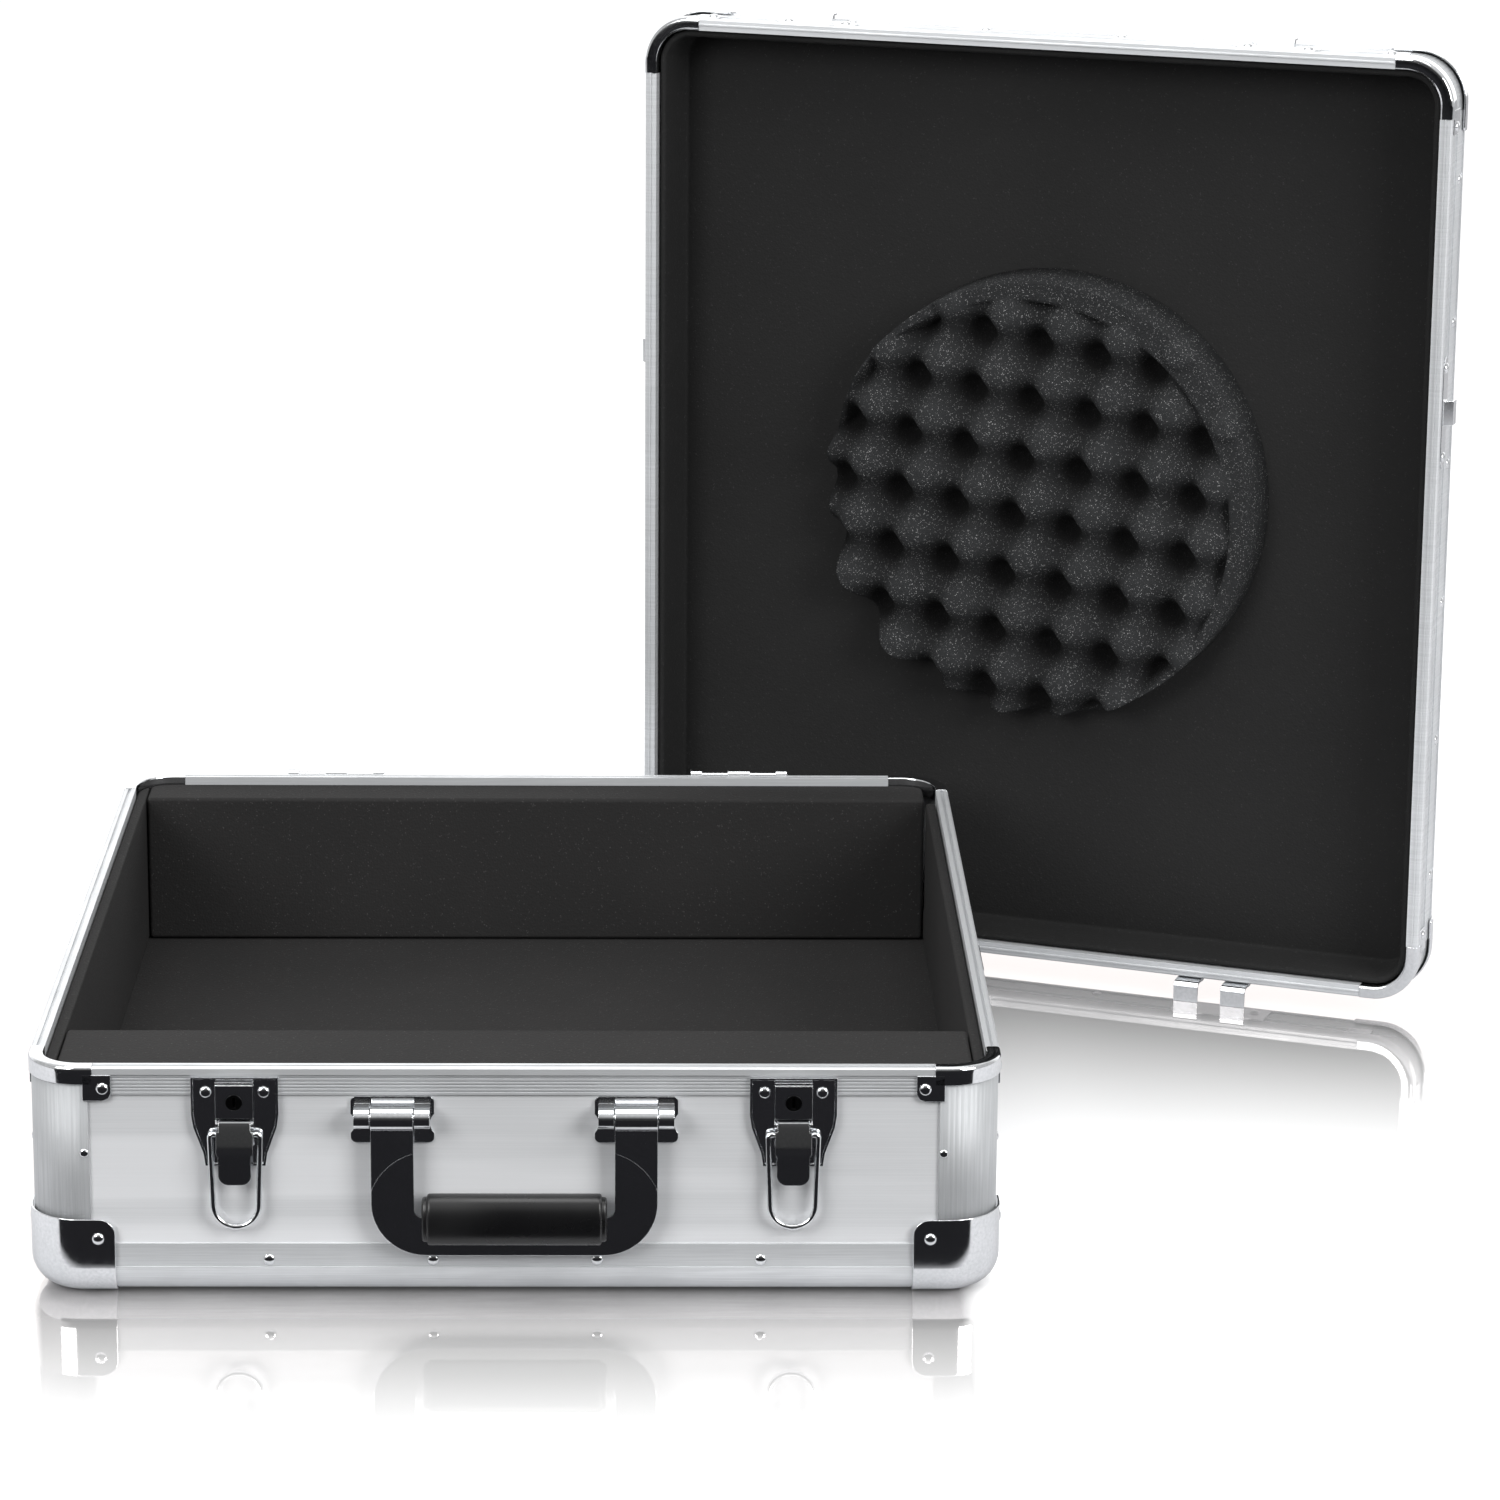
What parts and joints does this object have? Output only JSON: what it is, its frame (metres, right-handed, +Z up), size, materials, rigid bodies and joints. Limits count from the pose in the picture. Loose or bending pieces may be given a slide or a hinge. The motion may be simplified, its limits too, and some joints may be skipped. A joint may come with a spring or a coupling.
{
  "type": "flight case",
  "caption": "Lift-off-lid flight case tray for a mixing desk: laminated boards in aluminium rails, ball corners, latches, folding handle and a foam-lined lid stood behind.",
  "frame": {"origin": "centre of the base tray's underside, on the bottom panel's lower face", "axes": "+X to the right along the base's width, seen from the handle's side; +Y to the rear, away from the handle; +Z up out of the open base"},
  "size_m": [0.7709, 0.6735, 0.5629],
  "materials": {
    "white_laminate": "satin laminate on board",
    "satin_aluminium": "anodised, satin, extruded",
    "polished_aluminium": "bright anodised",
    "chrome": "polished chrome plate",
    "dark_foam": "black open-cell foam",
    "black_plastic": "smooth black moulded plastic"
  },
  "bodies": {
    "base": {"bottom_panel": "white_laminate", "front_panel": "white_laminate", "rear_panel": "white_laminate", "left_panel": "white_laminate", "right_panel": "white_laminate", "rim_rail_front": "satin_aluminium", "rim_rail_rear": "satin_aluminium", "rim_rail_left": "satin_aluminium", "rim_rail_right": "satin_aluminium", "bottom_rail_front": "satin_aluminium", "bottom_rail_rear": "satin_aluminium", "bottom_rail_left": "satin_aluminium", "bottom_rail_right": "satin_aluminium", "corner_posts": "satin_aluminium", "ball_corners": "chrome", "rim_corner_caps": "chrome", "base_rivets": "chrome", "base_hinge_left": "chrome", "base_hinge_right": "chrome", "hinge_pin_left": "chrome", "hinge_pin_right": "chrome", "handle_mount_left": "chrome", "handle_mount_right": "chrome", "handle_pins": "chrome", "lining_floor": "dark_foam", "lining_front_block": "dark_foam", "lining_rear_block": "dark_foam", "lining_left": "dark_foam", "lining_right": "dark_foam", "latch_plate_front_left": "chrome", "latch_plate_front_right": "chrome", "latch_plate_side_left": "chrome", "latch_plate_side_right": "chrome"},
    "lid": {"lid_panel": "white_laminate", "lid_side_panels": "white_laminate", "lid_rim_rails": "satin_aluminium", "lid_back_rails": "satin_aluminium", "lid_corner_posts": "satin_aluminium", "lid_ball_corners": "chrome", "lid_rim_caps": "chrome", "lid_rivets": "chrome", "lid_lining": "dark_foam", "foam_disc": "dark_foam", "keepers_front": "chrome", "keepers_side": "chrome", "hinge_hooks": "chrome"},
    "handle": {"handle_bow": "chrome", "handle_grip": "black_plastic"},
    "lever_front_left": {"latch_lever_front_left": "chrome"},
    "bail_front_left": {"latch_bail_front_left": "chrome"},
    "lock_front_left": {"lock_plug_front_left": "chrome"},
    "lever_front_right": {"latch_lever_front_right": "chrome"},
    "bail_front_right": {"latch_bail_front_right": "chrome"},
    "lock_front_right": {"lock_plug_front_right": "chrome"},
    "lever_side_left": {"latch_lever_side_left": "chrome"},
    "bail_side_left": {"latch_bail_side_left": "chrome"},
    "lever_side_right": {"latch_lever_side_right": "chrome"},
    "bail_side_right": {"latch_bail_side_right": "chrome"}
  },
  "joints": [
    {"name": "lid_lift", "type": "slide", "parent": "base", "child": "lid", "axis": [0, 0, 1], "range_m": [0, 0.11]},
    {"name": "handle_hinge", "type": "hinge", "parent": "base", "child": "handle", "pos_m": [0, -0.2782, 0.0946], "axis": [-1, 0, 0], "range_deg": [0, 95]},
    {"name": "lever_front_left_hinge", "type": "hinge", "parent": "base", "child": "lever_front_left", "pos_m": [-0.137, -0.2753, 0.0903], "axis": [-1, 0, 0], "range_deg": [0, 95]},
    {"name": "bail_front_left_hinge", "type": "hinge", "parent": "lever_front_left", "child": "bail_front_left", "pos_m": [-0.137, -0.2757, 0.0853], "axis": [-1, 0, 0], "range_deg": [0, 90]},
    {"name": "lock_front_left_turn", "type": "hinge", "parent": "base", "child": "lock_front_left", "pos_m": [-0.137, -0.2725, 0.1023], "axis": [0, 1, 0], "range_deg": [0, 90]},
    {"name": "lever_front_right_hinge", "type": "hinge", "parent": "base", "child": "lever_front_right", "pos_m": [0.137, -0.2753, 0.0903], "axis": [-1, 0, 0], "range_deg": [0, 95]},
    {"name": "bail_front_right_hinge", "type": "hinge", "parent": "lever_front_right", "child": "bail_front_right", "pos_m": [0.137, -0.2757, 0.0853], "axis": [-1, 0, 0], "range_deg": [0, 90]},
    {"name": "lock_front_right_turn", "type": "hinge", "parent": "base", "child": "lock_front_right", "pos_m": [0.137, -0.2725, 0.1023], "axis": [0, 1, 0], "range_deg": [0, 90]},
    {"name": "lever_side_left_hinge", "type": "hinge", "parent": "base", "child": "lever_side_left", "pos_m": [-0.2428, -0.073, 0.0903], "axis": [0, 1, 0], "range_deg": [0, 95]},
    {"name": "bail_side_left_hinge", "type": "hinge", "parent": "lever_side_left", "child": "bail_side_left", "pos_m": [-0.2432, -0.073, 0.0853], "axis": [0, 1, 0], "range_deg": [0, 90]},
    {"name": "lever_side_right_hinge", "type": "hinge", "parent": "base", "child": "lever_side_right", "pos_m": [0.2428, -0.073, 0.0903], "axis": [0, -1, 0], "range_deg": [0, 95]},
    {"name": "bail_side_right_hinge", "type": "hinge", "parent": "lever_side_right", "child": "bail_side_right", "pos_m": [0.2432, -0.073, 0.0853], "axis": [0, -1, 0], "range_deg": [0, 90]}
  ]
}
